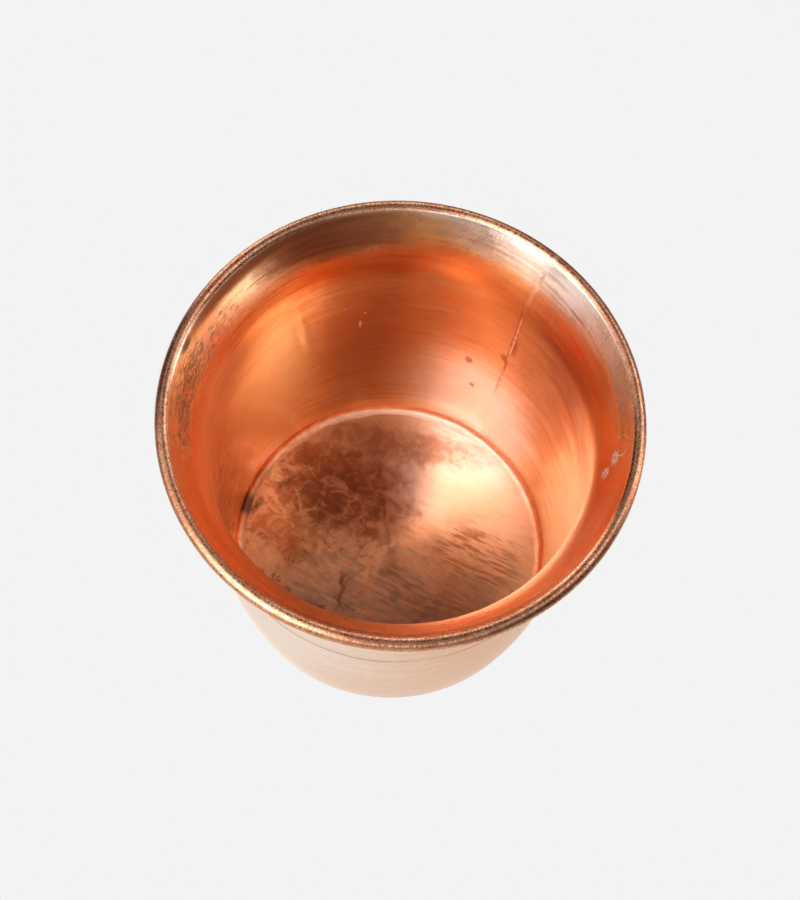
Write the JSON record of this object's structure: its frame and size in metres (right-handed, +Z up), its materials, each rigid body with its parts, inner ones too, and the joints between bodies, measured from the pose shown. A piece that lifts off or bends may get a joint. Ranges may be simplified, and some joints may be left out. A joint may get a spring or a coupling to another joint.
{
  "type": "ritual water cup",
  "caption": "Small copper ritual water cup with a nearly straight wall, a flared mouth, a rolled edge and a flat floor.",
  "frame": {"origin": "centre of the ring-shaped foot that the cup stands on, at the level of that foot", "axes": "+Z up along the cup's axis, +X to the right and +Y away from a person looking from the side that the picture was taken from"},
  "size_m": [0.07, 0.07, 0.057],
  "materials": {
    "wall_copper": "polished copper sheet with fine turning marks, bright outside and fire-stained in places inside",
    "floor_copper": "dull copper with cloudy fire stain and brush marks",
    "wire_copper": "plain drawn copper wire",
    "braze": "smooth brazing metal, paler than the copper"
  },
  "bodies": {
    "root": {"cup_wall": "wall_copper", "side_seam_braze": "braze", "rim_wire": "wire_copper", "base_disc": "floor_copper", "base_braze_ring": "braze"}
  },
  "joints": []
}
